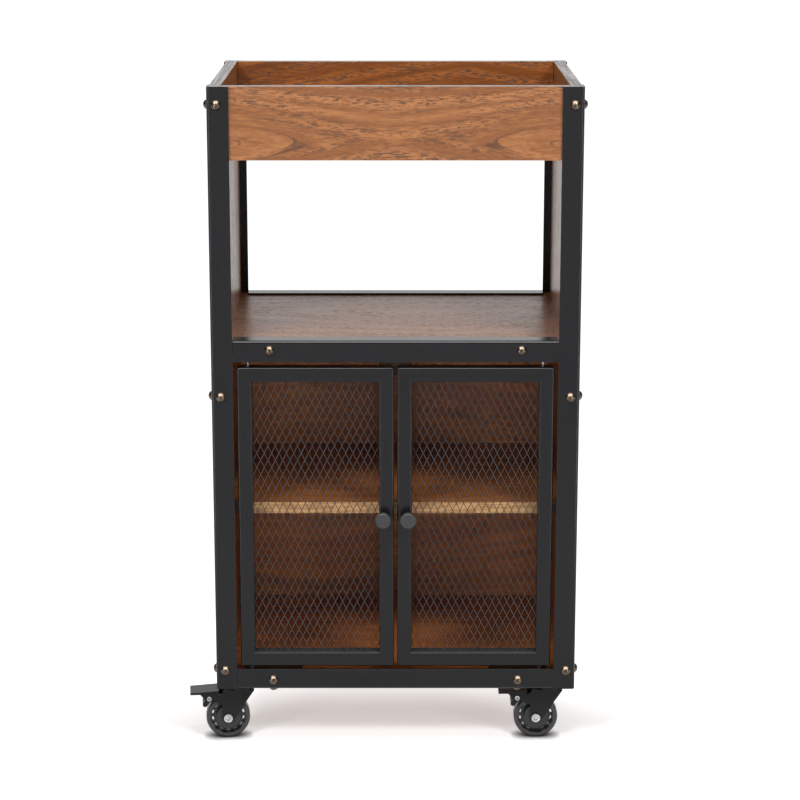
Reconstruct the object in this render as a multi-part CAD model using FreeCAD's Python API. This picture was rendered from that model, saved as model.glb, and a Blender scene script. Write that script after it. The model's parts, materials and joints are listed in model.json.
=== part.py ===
import FreeCAD, Part
import math
import os

os.makedirs("parts", exist_ok=True)

# Steel corner legs: rolled angle, one at each corner
frame_width = 510.0
frame_depth = 380.0
leg_foot = 84.2
leg_length = 855.8
leg_flange = 30.0
leg_steel = 3.0
leg_bend = 4.0

# Boards, all cut from one thickness except the thin back
board_thick = 16.0
panel_edge_round = 1.5
tray_height = 100.0
tray_end_gap = 0.5
back_thick = 6.0

# Steel rails along the front and back of the open shelf and the bottom board
rail_steel = 3.0
rail_bend = 4.0
rail_height = 29.8
rail_end_gap = 0.4
shelf_rail_top = 591.0
shelf_rail_flange = 28.5
lower_rail_flange = 18.0

# Loose shelf inside the cabinet and the pins that carry it
inner_shelf_top = 351.0
inner_shelf_side_gap = 0.5
shelf_pin_radius = 3.0
shelf_pin_depth = 9.0
shelf_pin_reach = 10.0
shelf_pin_inset = 45.0
shelf_swing_gap = 2.0

# Hidden dowels that join the boards to the side panels
dowel_radius = 4.0
dowel_in_panel = 10.0
dowel_in_board = 20.0
dowel_side_shares = (0.22, 0.5, 0.78)
dowel_tray_shares = (0.28, 0.58)

# Dome-head bolts
bolt_head_radius = 7.0
bolt_head_height = 5.0
bolt_radius = 2.5
bolt_clearance = 0.1
leg_bolt_inset = 13.0
leg_bolt_top_drop = 25.0
leg_bolt_middle = 511.0
leg_bolt_foot_rise = 27.4
leg_edge_bolt_length = 25.0
leg_face_bolt_length = 8.5
rail_bolt_offset = 174.0
rail_bolt_drop = 13.5
rail_bolt_length = 26.0
floor_bolt_length = 10.0
floor_bolt_inset = 10.0

# Doors: square tube frames with an expanded metal panel
door_tube = 21.0
door_wall = 1.5
door_corner = 3.5
door_edge_round = 3.0
door_recess = 3.0
door_side_gap = 5.0
door_meeting_gap = 4.2
door_top_gap = 8.4
door_bottom_gap = 3.4
mesh_recess = 8.5
mesh_thick = 2.5
mesh_pitch_across = 10.35
mesh_pitch_up = 20.3
mesh_strand = 1.5
mesh_selvage = 0.8

# Pivot pins and the angle brackets that hold them
pivot_inset = 15.5
pivot_clearance = 0.05
lower_pin_radius = 2.7
lower_spigot_radius = 1.8
spigot_reach = 7.0
upper_pin_radius = 2.0
upper_pin_reach = 12.0
bracket_steel = 3.0
bracket_bend = 3.5
bracket_length = 82.0
bracket_leaf = 24.0
bracket_upright = 21.5
bracket_set_down = 1.0

# Round knobs and their screws
knob_inset = 15.4
knob_height = 337.6
knob_radius = 11.0
knob_head = 9.0
knob_round = 1.5
knob_stem_radius = 4.0
knob_stem = 11.0
knob_screw_radius = 2.0
knob_screw_in_knob = 9.0
knob_screw_head_radius = 4.0
knob_screw_head = 2.5

# Magnetic catch under the open shelf
catch_width = 46.0
catch_depth = 16.0
catch_height = 35.5
catch_door_gap = 0.6
magnet_width = 15.0
magnet_offset = 9.6
magnet_height = 12.0
magnet_depth = 4.0
magnet_rise = 4.0
magnet_proud = 0.3

# Swivel casters
caster_inset_side = 33.0
caster_inset_front = 40.0
caster_trail = 20.0
wheel_radius = 31.5
wheel_width = 22.0
tyre_thick = 5.5
tyre_round = 4.0
hub_boss_radius = 11.0
hub_disc_radius = 17.0
hub_channel_radius = 24.6
hub_web = 5.0
hub_slot_count = 14
hub_slot_length = 6.0
hub_slot_height = 2.4
hub_slot_radius = 22.4
wheel_side_gap = 0.4
axle_radius = 4.0
axle_clearance = 0.06
axle_head_radius = 6.3
axle_head = 3.5
axle_socket_radius = 3.2
axle_socket = 1.8
fork_steel = 2.5
fork_crown = 73.6
fork_boss_radius = 9.0
fork_cup_radius = 17.0
fork_cup = 5.0
race_radius = 15.0
plate_steel = 2.5
plate_across = 56.0
plate_deep = 42.0
plate_hole_across = 40.0
plate_hole_deep = 28.0
plate_screw_radius = 2.0
plate_screw_length = 14.0
plate_screw_head_radius = 3.8
plate_screw_head = 2.2
kingpin_radius = 5.0
kingpin_clearance = 0.08
kingpin_head_radius = 8.0
kingpin_head = 2.5
front_left_turn = 5.0
other_turn = 0.0

# Side of a fork, as shares of the trail and of the height from axle to crown
fork_right_shares = ((0.88, 1.0), (0.86, 0.95), (0.35, 0.6))
fork_left_plain_shares = ((-1.4, 0.44), (-1.3, 0.75), (-1.1, 1.0))
fork_left_brake_shares = ((-1.4, 0.44), (-1.95, 0.6))
fork_ear_top_shares = ((-1.5, 0.84), (-1.2, 1.0))

# Brake pedal on each front caster
brake_pivot_out = 47.0
brake_pivot_height = 62.0
brake_ear_radius = 5.0
brake_side_gap = 0.4
brake_steel = 1.6
brake_tread_out = 74.0
brake_tread_in = 33.0
brake_tread_thick = 3.0
brake_tread_outer_top = 71.0
brake_tread_inner_top = 73.5
brake_shoe_out = 6.0
brake_shoe_down = 9.0
brake_shoe_radius = 3.6
brake_web_out = 60.0
rivet_radius = 2.4
rivet_bore = 1.3
rivet_clearance = 0.06
rivet_head_radius = 3.4
rivet_head = 1.2

# Cutting solids run past the faces that they cut by this much
overrun = 1.0
# Two points nearer than this are the same point
same_point = 0.01

# Values that follow from the sizes above
half_width = frame_width / 2
half_depth = frame_depth / 2
leg_top = leg_foot + leg_length
panel_outer = half_width - leg_steel
panel_inner = panel_outer - board_thick
board_face = half_depth - leg_steel
board_edge = half_depth - rail_steel - bracket_steel
board_under = leg_foot + rail_steel
bottom_top = board_under + board_thick
shelf_top = shelf_rail_top - rail_steel
shelf_under = shelf_top - board_thick
tray_bottom = leg_top - tray_height
rail_end = half_width - leg_flange - rail_end_gap
rail_back_face = half_depth - rail_steel
back_panel_face = board_face - back_thick

door_front = -half_depth + door_recess
door_middle = door_front + door_tube / 2
door_back = door_front + door_tube
door_outer = half_width - leg_flange - door_side_gap
door_inner = door_meeting_gap / 2
door_bottom = leg_foot + rail_height + door_bottom_gap
door_top = shelf_rail_top - rail_height - door_top_gap
pivot_x = door_outer - pivot_inset
door_swing = math.hypot(pivot_inset, door_tube / 2)
lower_leaf_top = leg_foot + rail_height - bracket_set_down
upper_leaf_under = shelf_rail_top - rail_height + bracket_set_down
inner_shelf_front = door_middle + door_swing + shelf_swing_gap
inner_shelf_under = inner_shelf_top - board_thick

caster_x = half_width - caster_inset_side
caster_y = half_depth - caster_inset_front
fork_inner = wheel_width / 2 + wheel_side_gap * 2
fork_outer = fork_inner + fork_steel
fork_rise = fork_crown - wheel_radius
cup_top = fork_crown + fork_cup
hub_radius = wheel_radius - tyre_thick
pedal_inner = fork_outer + brake_side_gap
pedal_outer = pedal_inner + brake_steel

up = FreeCAD.Vector(0, 0, 1)
down = FreeCAD.Vector(0, 0, -1)
right = FreeCAD.Vector(1, 0, 0)
back = FreeCAD.Vector(0, 1, 0)
front = FreeCAD.Vector(0, -1, 0)
sides = (("left", -1), ("right", 1))
ends = (("front", -1), ("rear", 1))


def point(x, y, z):
    return FreeCAD.Vector(x, y, z)


def block(x1, x2, y1, y2, z1, z2):
    return Part.makeBox(x2 - x1, y2 - y1, z2 - z1, point(x1, y1, z1))


def rod(radius, start, axis, length):
    return Part.makeCylinder(radius, length, start, axis)


def group(solids):
    return Part.makeCompound(list(solids))


def save(name, shape):
    shape.exportStep(os.path.join("parts", name + ".step"))


def edges_on_line(shape, start, axis):
    """Straight edges of a shape that lie on one line."""
    found = []
    for edge in shape.Edges:
        offsets = [axis.cross(v.Point.sub(start)).Length for v in edge.Vertexes]
        if max(offsets) < same_point:
            found.append(edge)
    return found


def angle_bar(corner, along, length, first, first_flange, second, second_flange, steel, bend):
    """Bent steel angle: its outer corner line starts at corner and runs along."""
    inner = corner.add(first * steel).add(second * steel)
    outline = [
        corner,
        corner.add(first * first_flange),
        corner.add(first * first_flange).add(second * steel),
        inner,
        corner.add(first * steel).add(second * second_flange),
        corner.add(second * second_flange),
        corner,
    ]
    bar = Part.Face(Part.makePolygon(outline)).extrude(along * length)
    bar = bar.makeFillet(bend, edges_on_line(bar, corner, along))
    return bar.makeFillet(bend - steel, edges_on_line(bar, inner, along))


def dome_bolt(seat, axis, length):
    """Dome-head bolt: the head sits on the seat, the shank runs along the axis."""
    ball = (bolt_head_radius ** 2 + bolt_head_height ** 2) / (2 * bolt_head_height)
    centre = seat.add(axis * (ball - bolt_head_height))
    latitude = math.degrees(math.asin((ball - bolt_head_height) / ball))
    head = Part.makeSphere(ball, centre, axis * -1, latitude, 90, 360)
    return head.fuse(rod(bolt_radius, seat, axis, length)).removeSplitter()


def bolt_holes(places, length):
    radius = bolt_radius + bolt_clearance
    return group(rod(radius, seat, axis, length + bolt_clearance) for seat, axis in places)


def leg_bolt_heights():
    return (leg_top - leg_bolt_top_drop, leg_bolt_middle, leg_foot + leg_bolt_foot_rise)


def leg_edge_places(side):
    """Bolts through the front and back flanges into the edges of a side panel."""
    x = side * (half_width - leg_bolt_inset)
    places = []
    for height in leg_bolt_heights():
        places.append((point(x, -half_depth, height), back))
        places.append((point(x, half_depth, height), front))
    return places


def leg_face_places(side):
    """Bolts through the side flanges into the outer face of a side panel."""
    inward = right * -side
    places = []
    for height in leg_bolt_heights():
        for name, end in ends:
            y = end * (half_depth - leg_bolt_inset)
            places.append((point(side * half_width, y, height), inward))
    return places


def rail_places(height):
    """Bolts through a front and a back rail into the edges of a board."""
    places = []
    for name, side in sides:
        x = side * rail_bolt_offset
        places.append((point(x, -half_depth, height), back))
        places.append((point(x, half_depth, height), front))
    return places


def floor_places():
    """Bolts from below through the lower rails into the bottom board."""
    y = half_depth - floor_bolt_inset
    return [
        (point(side * rail_bolt_offset, end * y, leg_foot), up)
        for name, side in sides
        for other, end in ends
    ]


def dowel_places(side):
    """Start of each dowel inside a side panel, with its direction."""
    x = side * (panel_inner + dowel_in_panel)
    places = []
    for share in dowel_tray_shares:
        for end in (-1, 1):
            y = end * (board_face - board_thick / 2)
            places.append(point(x, y, tray_bottom + tray_height * share))
    middles = (tray_bottom + board_thick / 2, shelf_under + board_thick / 2, board_under + board_thick / 2)
    for height in middles:
        for share in dowel_side_shares:
            places.append(point(x, -half_depth + frame_depth * share, height))
    return [(place, right * -side) for place in places]


def dowel(place, axis):
    return rod(dowel_radius, place, axis, dowel_in_panel + dowel_in_board)


def all_dowels():
    return [dowel(place, axis) for name, side in sides for place, axis in dowel_places(side)]


def shelf_pin_places(side):
    x = side * (panel_inner + shelf_pin_depth)
    z = inner_shelf_under - shelf_pin_radius
    rows = (inner_shelf_front + shelf_pin_inset, back_panel_face - shelf_pin_inset)
    return [(point(x, y, z), right * -side) for y in rows]


def shelf_pin(place, axis):
    return rod(shelf_pin_radius, place, axis, shelf_pin_depth + shelf_pin_reach)


def plate_centre(side, end):
    return point(side * caster_x, end * caster_y, 0)


def plate_screw_places(side, end):
    centre = plate_centre(side, end)
    places = []
    for across in (-1, 1):
        for deep in (-1, 1):
            x = centre.x + across * plate_hole_across / 2
            y = centre.y + deep * plate_hole_deep / 2
            places.append(point(x, y, board_under - plate_steel))
    return places


def all_plate_screw_places():
    return [
        place
        for name, side in sides
        for other, end in ends
        for place in plate_screw_places(side, end)
    ]


def plate_screw(place):
    shank = rod(plate_screw_radius, place, up, plate_screw_length)
    head = rod(plate_screw_head_radius, place, down, plate_screw_head)
    return shank.fuse(head).removeSplitter()


def plate_screw_holes():
    return group(
        rod(plate_screw_radius + bolt_clearance, place, up, plate_screw_length + bolt_clearance)
        for place in all_plate_screw_places()
    )


def leg(side, end):
    corner = point(side * half_width, end * half_depth, leg_foot)
    bar = angle_bar(
        corner, up, leg_length, right * -side, leg_flange, back * -end, leg_flange, leg_steel, leg_bend
    )
    bar = bar.cut(bolt_holes(leg_edge_places(side), leg_steel + overrun))
    return bar.cut(bolt_holes(leg_face_places(side), leg_steel + overrun))


def side_panel(side):
    x1, x2 = sorted((side * panel_outer, side * panel_inner))
    panel = block(x1, x2, -board_face, board_face, board_under, leg_top)
    edges = []
    for end in (-1, 1):
        edges += edges_on_line(panel, point(side * panel_outer, end * board_face, board_under), up)
    panel = panel.makeFillet(panel_edge_round, edges)
    panel = panel.cut(bolt_holes(leg_edge_places(side), leg_edge_bolt_length))
    panel = panel.cut(bolt_holes(leg_face_places(side), leg_face_bolt_length))
    panel = panel.cut(group(dowel(place, axis) for place, axis in dowel_places(side)))
    panel = panel.cut(group(shelf_pin(place, axis) for place, axis in shelf_pin_places(side)))
    return panel.cut(plate_screw_holes())


def tray_board(end):
    y1, y2 = sorted((end * board_face, end * (board_face - board_thick)))
    end_x = panel_inner - tray_end_gap
    board = block(-end_x, end_x, y1, y2, tray_bottom, leg_top)
    return board.cut(group(all_dowels()))


def tray_floor():
    y = board_face - board_thick
    floor = block(-panel_inner, panel_inner, -y, y, tray_bottom, tray_bottom + board_thick)
    return floor.cut(group(all_dowels()))


def shelf_board():
    board = block(-panel_inner, panel_inner, -board_edge, board_edge, shelf_under, shelf_top)
    board = board.cut(bolt_holes(rail_places(shelf_rail_top - rail_bolt_drop), rail_bolt_length))
    return board.cut(group(all_dowels()))


def bottom_board():
    board = block(-panel_inner, panel_inner, -board_edge, board_edge, board_under, bottom_top)
    board = board.cut(bolt_holes(rail_places(leg_foot + rail_bolt_drop), rail_bolt_length))
    board = board.cut(bolt_holes(floor_places(), floor_bolt_length))
    board = board.cut(group(all_dowels()))
    return board.cut(plate_screw_holes())


def shelf_rail(end):
    """Angle with one leaf lying on the shelf and the other hanging in front of its edge."""
    corner = point(-rail_end, end * half_depth, shelf_rail_top)
    bar = angle_bar(
        corner, right, rail_end * 2, back * -end, shelf_rail_flange, down, rail_height, rail_steel, rail_bend
    )
    return bar.cut(bolt_holes(rail_places(shelf_rail_top - rail_bolt_drop), rail_steel + overrun))


def lower_rail(end):
    """Angle with one leaf under the bottom board and the other standing in front of its edge."""
    corner = point(-rail_end, end * half_depth, leg_foot)
    bar = angle_bar(
        corner, right, rail_end * 2, back * -end, lower_rail_flange, up, rail_height, rail_steel, rail_bend
    )
    bar = bar.cut(bolt_holes(rail_places(leg_foot + rail_bolt_drop), rail_steel + overrun))
    return bar.cut(bolt_holes(floor_places(), rail_steel + overrun))


def back_panel():
    return block(-panel_inner, panel_inner, back_panel_face, board_face, bottom_top, shelf_under)


def inner_shelf():
    x = panel_inner - inner_shelf_side_gap
    return block(-x, x, inner_shelf_front, back_panel_face, inner_shelf_under, inner_shelf_top)


def bracket(side, corner_z, upright):
    """Short angle behind a front rail: one leaf against the rail, one level leaf for the pin."""
    start = point(side * rail_bolt_offset - bracket_length / 2, -rail_back_face, corner_z)
    bar = angle_bar(
        start, right, bracket_length, back, bracket_leaf, upright, bracket_upright, bracket_steel, bracket_bend
    )
    rows = rail_places(shelf_rail_top - rail_bolt_drop) + rail_places(leg_foot + rail_bolt_drop)
    return bar.cut(bolt_holes(rows, rail_steel + bracket_steel + overrun))


def lower_bracket(side):
    pin_hole = rod(lower_spigot_radius, pivot_point(side, lower_leaf_top - bracket_steel), up, bracket_steel)
    return bracket(side, lower_leaf_top, down).cut(pin_hole)


def upper_bracket(side):
    pin_hole = rod(upper_pin_radius, pivot_point(side, upper_leaf_under), up, bracket_steel)
    return bracket(side, upper_leaf_under, up).cut(pin_hole)


def pivot_point(side, height):
    return point(side * pivot_x, door_middle, height)


def lower_pin(side):
    """Stepped pin: riveted into the bracket, with a shoulder that carries the door."""
    tail = rod(lower_spigot_radius, pivot_point(side, lower_leaf_top - bracket_steel), up, bracket_steel)
    shoulder = rod(lower_pin_radius, pivot_point(side, lower_leaf_top), up, door_bottom - lower_leaf_top)
    spigot = rod(lower_spigot_radius, pivot_point(side, door_bottom), up, spigot_reach)
    return tail.fuse([shoulder, spigot]).removeSplitter()


def upper_pin(side):
    bottom = door_top - upper_pin_reach
    return rod(upper_pin_radius, pivot_point(side, bottom), up, upper_leaf_under + bracket_steel - bottom)


def door_limits(side):
    return sorted((side * door_outer, side * door_inner))


def door_frame(side):
    """Welded square tube frame, hollow, with holes for the pivot pins and the knob screw."""
    x1, x2 = door_limits(side)
    body = block(x1, x2, door_front, door_back, door_bottom, door_top)
    corners = []
    for x in (x1, x2):
        for z in (door_bottom, door_top):
            corners += edges_on_line(body, point(x, door_front, z), back)
    body = body.makeFillet(door_corner, corners)
    window = door_window(side, door_front - overrun, door_back + overrun)
    ring = body.cut(window)
    ring = ring.makeFillet(door_edge_round, door_rims(ring))
    w = door_wall
    t = door_tube - door_wall
    core = block(x1 + w, x2 - w, door_front + w, door_back - w, door_bottom + w, door_top - w)
    inside = block(x1 + t, x2 - t, door_front, door_back, door_bottom + t, door_top - t)
    ring = ring.cut(core.cut(inside))
    lower = rod(lower_spigot_radius + pivot_clearance, pivot_point(side, door_bottom), up, door_wall + overrun)
    upper = rod(upper_pin_radius + pivot_clearance, pivot_point(side, door_top), down, door_wall + overrun)
    screw = rod(knob_screw_radius + bolt_clearance, knob_point(side, door_back), front, door_tube)
    return ring.cut([lower, upper, screw])


def door_rims(ring):
    """Long edges of the tubes, round the front and the back of the frame."""
    rims = []
    for edge in ring.Edges:
        for y in (door_front, door_back):
            if max(abs(v.Y - y) for v in edge.Vertexes) < same_point:
                rims.append(edge)
    return rims


def door_window(side, y1, y2):
    x1, x2 = door_limits(side)
    return block(x1 + door_tube, x2 - door_tube, y1, y2, door_bottom + door_tube, door_top - door_tube)


def clipped(outline, axis, limit, keep):
    """Part of a flat outline on one side of a line across it."""
    kept = []
    count = len(outline)
    for index in range(count):
        first = outline[index]
        second = outline[(index + 1) % count]
        a = (first[axis] - limit) * keep
        b = (second[axis] - limit) * keep
        if a >= 0:
            kept.append(first)
        if a * b < 0:
            share = a / (a - b)
            kept.append(tuple(p + (q - p) * share for p, q in zip(first, second)))
    return kept


def mesh_gap(x, z, half_across, half_up, low, high):
    """One diamond gap of the mesh, cut off at the selvage along the edges."""
    outline = [(x - half_across, z), (x, z - half_up), (x + half_across, z), (x, z + half_up)]
    for axis in (0, 1):
        outline = clipped(outline, axis, low[axis], 1)
        outline = clipped(outline, axis, high[axis], -1)
        if len(outline) < 3:
            return None
    return outline


def mesh_gaps(x1, x2, z1, z2):
    across = max(1, round((x2 - x1) / mesh_pitch_across))
    rows = max(1, round((z2 - z1) / mesh_pitch_up))
    step_x = (x2 - x1) / across
    step_z = (z2 - z1) / rows
    slope = math.hypot(step_x, step_z) / (step_x * step_z)
    left_share = 1 - mesh_strand * slope
    half_across = step_x / 2 * left_share
    half_up = step_z / 2 * left_share
    low = (x1 + mesh_selvage, z1 + mesh_selvage)
    high = (x2 - mesh_selvage, z2 - mesh_selvage)
    gaps = []
    for shift in (0, 0.5):
        for i in range(across + 1):
            for j in range(rows + 1):
                x = x1 + step_x * (i + shift)
                z = z1 + step_z * (j + shift)
                gap = mesh_gap(x, z, half_across, half_up, low, high)
                if gap:
                    gaps.append(gap)
    return gaps


def flat_wire(outline, y):
    corners = [point(x, y, z) for x, z in outline]
    return Part.makePolygon(corners + corners[:1])


def door_mesh(side):
    """Expanded metal panel that fills the window of a door frame."""
    box = door_window(side, door_front, door_back).BoundBox
    y = door_front + mesh_recess
    outside = [(box.XMin, box.ZMin), (box.XMax, box.ZMin), (box.XMax, box.ZMax), (box.XMin, box.ZMax)]
    wires = [flat_wire(outside, y)]
    wires += [flat_wire(gap, y) for gap in mesh_gaps(box.XMin, box.XMax, box.ZMin, box.ZMax)]
    return Part.Face(wires, "Part::FaceMakerBullseye").extrude(back * mesh_thick)


def knob_point(side, y):
    return point(side * (door_inner + knob_inset), y, knob_height)


def knob(side):
    stem = rod(knob_stem_radius, knob_point(side, door_front), front, knob_stem)
    head = rod(knob_radius, knob_point(side, door_front - knob_stem), front, knob_head)
    head = head.makeFillet(knob_round, [e for e in head.Edges if len(e.Vertexes) == 1])
    hole = rod(knob_screw_radius, knob_point(side, door_front), front, knob_screw_in_knob)
    return stem.fuse(head).removeSplitter().cut(hole)


def knob_screw(side):
    shank = rod(knob_screw_radius, knob_point(side, door_back), front, door_tube + knob_screw_in_knob)
    head = rod(knob_screw_head_radius, knob_point(side, door_back), back, knob_screw_head)
    return shank.fuse(head).removeSplitter()


def magnet(side):
    y = door_back + catch_door_gap
    x = side * magnet_offset
    z = shelf_under - catch_height + magnet_rise
    half = magnet_width / 2
    return block(x - half, x + half, y - magnet_proud, y + magnet_depth, z, z + magnet_height)


def catch_body():
    y = door_back + catch_door_gap
    half = catch_width / 2
    body = block(-half, half, y, y + catch_depth, shelf_under - catch_height, shelf_under)
    return body.cut(group(magnet(side) for name, side in sides))


def caster_plate(side, end):
    """Mounting plate with the upper race pressed down from it."""
    centre = plate_centre(side, end)
    z = board_under - plate_steel
    plate = block(
        centre.x - plate_across / 2,
        centre.x + plate_across / 2,
        centre.y - plate_deep / 2,
        centre.y + plate_deep / 2,
        z,
        board_under,
    )
    race = rod(race_radius, point(centre.x, centre.y, cup_top), up, z - cup_top)
    plate = plate.fuse(race).removeSplitter()
    pin_hole = rod(kingpin_radius, point(centre.x, centre.y, cup_top), up, board_under - cup_top)
    return plate.cut(pin_hole).cut(plate_screw_holes())


def kingpin(side, end):
    """Rivet that holds the fork under the plate and lets it turn."""
    centre = plate_centre(side, end)
    start = fork_crown - fork_steel
    shank = rod(kingpin_radius, point(centre.x, centre.y, start), up, board_under - start)
    head = rod(kingpin_head_radius, point(centre.x, centre.y, start), down, kingpin_head)
    return shank.fuse(head).removeSplitter()


def outline_points(shares):
    return [(x * caster_trail, wheel_radius + z * fork_rise) for x, z in shares]


def tangent_point(start, centre, radius, turn):
    """Where a line from a point touches a circle, on the chosen side."""
    dx = start[0] - centre[0]
    dz = start[1] - centre[1]
    angle = math.atan2(dz, dx) + turn * math.acos(radius / math.hypot(dx, dz))
    return (centre[0] + radius * math.cos(angle), centre[1] + radius * math.sin(angle))


def slab(outline, y1, y2):
    return Part.Face(flat_wire(outline, y1)).extrude(back * (y2 - y1))


def fork_side(y1, y2, braked):
    """One cheek of the fork, tapering from the crown to the axle boss."""
    axle = (-caster_trail, wheel_radius)
    right_edge = outline_points(fork_right_shares)
    left_shares = fork_left_brake_shares if braked else fork_left_plain_shares
    left_edge = outline_points(left_shares)
    outline = right_edge + [tangent_point(right_edge[-1], axle, fork_boss_radius, -1), axle]
    outline += [tangent_point(left_edge[0], axle, fork_boss_radius, 1)] + left_edge
    pieces = [rod(fork_boss_radius, point(axle[0], y1, axle[1]), back, y2 - y1)]
    if braked:
        pivot = (-brake_pivot_out, brake_pivot_height)
        top = outline_points(fork_ear_top_shares)
        lower = tangent_point(left_edge[-1], pivot, brake_ear_radius, -1)
        upper = tangent_point(top[0], pivot, brake_ear_radius, 1)
        outline += [lower, pivot, upper] + top
        pieces.append(rod(brake_ear_radius, point(pivot[0], y1, pivot[1]), back, y2 - y1))
    return slab(outline, y1, y2).fuse(pieces).removeSplitter()


def fork(braked):
    cheeks = [fork_side(-fork_outer, -fork_inner, braked), fork_side(fork_inner, fork_outer, braked)]
    crown_points = outline_points(fork_right_shares)
    x1 = -crown_points[0][0]
    x2 = crown_points[0][0]
    crown = block(x1, x2, -fork_outer, fork_outer, fork_crown - fork_steel, fork_crown)
    cup = rod(fork_cup_radius, point(0, 0, fork_crown), up, fork_cup)
    body = crown.fuse(cheeks + [cup]).removeSplitter()
    pin_start = fork_crown - fork_steel
    pin_hole = rod(kingpin_radius + kingpin_clearance, point(0, 0, pin_start), up, cup_top - pin_start)
    axle_hole = rod(axle_radius, point(-caster_trail, -fork_outer, wheel_radius), back, fork_outer * 2)
    body = body.cut([pin_hole, axle_hole])
    if braked:
        body = body.cut(rod(rivet_radius, brake_point(-fork_outer), back, fork_outer * 2))
    return body


def axle():
    """Axle bolt with a socket in its head and a plain nut at the far end."""
    start = point(-caster_trail, -fork_outer, wheel_radius)
    end = point(-caster_trail, fork_outer, wheel_radius)
    shank = rod(axle_radius, start, back, fork_outer * 2)
    head = rod(axle_head_radius, start, front, axle_head)
    nut = rod(axle_head_radius, end, back, axle_head)
    face = point(-caster_trail, -fork_outer - axle_head, wheel_radius)
    return shank.fuse([head, nut]).removeSplitter().cut(rod(axle_socket_radius, face, back, axle_socket))


def wheel_middle(y):
    return point(-caster_trail, y, wheel_radius)


def wheel_hub():
    """Plastic wheel centre: a disc, a thin web with a ring of slots through it, and a rim."""
    half = wheel_width / 2
    boss_half = half + wheel_side_gap
    hub = rod(hub_radius, wheel_middle(-half), back, wheel_width)
    channel = rod(hub_channel_radius, wheel_middle(-half), back, wheel_width)
    channel = channel.cut(rod(hub_disc_radius, wheel_middle(-half), back, wheel_width))
    web = rod(hub_channel_radius, wheel_middle(-hub_web / 2), back, hub_web)
    hub = hub.cut(channel.cut(web))
    hub = hub.fuse(rod(hub_boss_radius, wheel_middle(-boss_half), back, boss_half * 2)).removeSplitter()
    hub = hub.cut(rod(axle_radius + axle_clearance, wheel_middle(-boss_half), back, boss_half * 2))
    slot = block(
        -caster_trail - hub_slot_length / 2,
        -caster_trail + hub_slot_length / 2,
        -half - overrun,
        half + overrun,
        wheel_radius - hub_slot_radius - hub_slot_height / 2,
        wheel_radius - hub_slot_radius + hub_slot_height / 2,
    )
    slots = []
    for index in range(hub_slot_count):
        slots.append(slot.rotated(wheel_middle(0), back, 360 * index / hub_slot_count))
    return hub.cut(group(slots))


def tyre():
    half = wheel_width / 2
    ring = rod(wheel_radius, wheel_middle(-half), back, wheel_width)
    ring = ring.makeFillet(tyre_round, [e for e in ring.Edges if len(e.Vertexes) == 1])
    return ring.cut(rod(hub_radius, wheel_middle(-half), back, wheel_width))


def brake_point(y):
    return point(-brake_pivot_out, y, brake_pivot_height)


def brake_ear(y1, y2):
    """Side of the pedal: from the tread down to the rivet and on to the shoe."""
    pivot = (-brake_pivot_out, brake_pivot_height)
    shoe = (-brake_pivot_out - brake_shoe_out, brake_pivot_height - brake_shoe_down)
    tread_in = (-brake_tread_in, brake_tread_inner_top - brake_tread_thick)
    tread_out = (-brake_web_out, brake_tread_outer_top - brake_tread_thick)
    upper = [tread_in, tangent_point(tread_in, pivot, brake_ear_radius, -1), pivot]
    upper += [tangent_point(tread_out, pivot, brake_ear_radius, 1), tread_out]
    tail = []
    length = math.hypot(brake_shoe_out, brake_shoe_down)
    for turn, (x, z) in ((1, pivot), (-1, shoe)):
        dx = brake_shoe_down / length * brake_shoe_radius * turn
        dz = brake_shoe_out / length * brake_shoe_radius * turn
        tail += [(x - dx, z + dz), (x + dx, z - dz)]
    pieces = [rod(brake_ear_radius, brake_point(y1), back, y2 - y1)]
    pieces.append(slab(tail, y1, y2))
    pieces.append(rod(brake_shoe_radius, point(shoe[0], y1, shoe[1]), back, y2 - y1))
    return slab(upper, y1, y2).fuse(pieces).removeSplitter()


def brake_pedal():
    tread = [
        (-brake_tread_out, brake_tread_outer_top),
        (-brake_tread_out, brake_tread_outer_top - brake_tread_thick),
        (-brake_web_out, brake_tread_outer_top - brake_tread_thick),
        (-brake_tread_in, brake_tread_inner_top - brake_tread_thick),
        (-brake_tread_in, brake_tread_inner_top),
    ]
    plate = slab(tread, -pedal_outer, pedal_outer)
    ears = [brake_ear(-pedal_outer, -pedal_inner), brake_ear(pedal_inner, pedal_outer)]
    x = -brake_pivot_out - brake_shoe_out
    z = brake_pivot_height - brake_shoe_down
    shoe = rod(brake_shoe_radius, point(x, -pedal_outer, z), back, pedal_outer * 2)
    body = plate.fuse(ears + [shoe]).removeSplitter()
    return body.cut(rod(rivet_radius + rivet_clearance, brake_point(-pedal_outer), back, pedal_outer * 2))


def brake_rivet():
    """Tubular rivet that the pedal turns on."""
    end = pedal_outer + brake_side_gap
    body = rod(rivet_radius, brake_point(-end), back, end * 2)
    heads = [rod(rivet_head_radius, brake_point(-end), front, rivet_head)]
    heads.append(rod(rivet_head_radius, brake_point(end), back, rivet_head))
    reach = end + rivet_head
    return body.fuse(heads).removeSplitter().cut(rod(rivet_bore, brake_point(-reach), back, reach * 2))


def caster_pieces(braked):
    pieces = {"fork": fork(braked), "axle": axle(), "hub": wheel_hub(), "tyre": tyre()}
    if braked:
        pieces["brake_pedal"] = brake_pedal()
        pieces["brake_rivet"] = brake_rivet()
    return pieces


def save_frame():
    for name, side in sides:
        save("side_panel_" + name, side_panel(side))
        for other, end in ends:
            save("leg_" + other + "_" + name, leg(side, end))
    save("tray_front_board", tray_board(-1))
    save("tray_back_board", tray_board(1))
    save("tray_floor", tray_floor())
    save("shelf_board", shelf_board())
    save("bottom_board", bottom_board())
    save("back_panel", back_panel())
    save("inner_shelf", inner_shelf())
    for name, end in ends:
        save("shelf_rail_" + name, shelf_rail(end))
        save("lower_rail_" + name, lower_rail(end))


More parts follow.
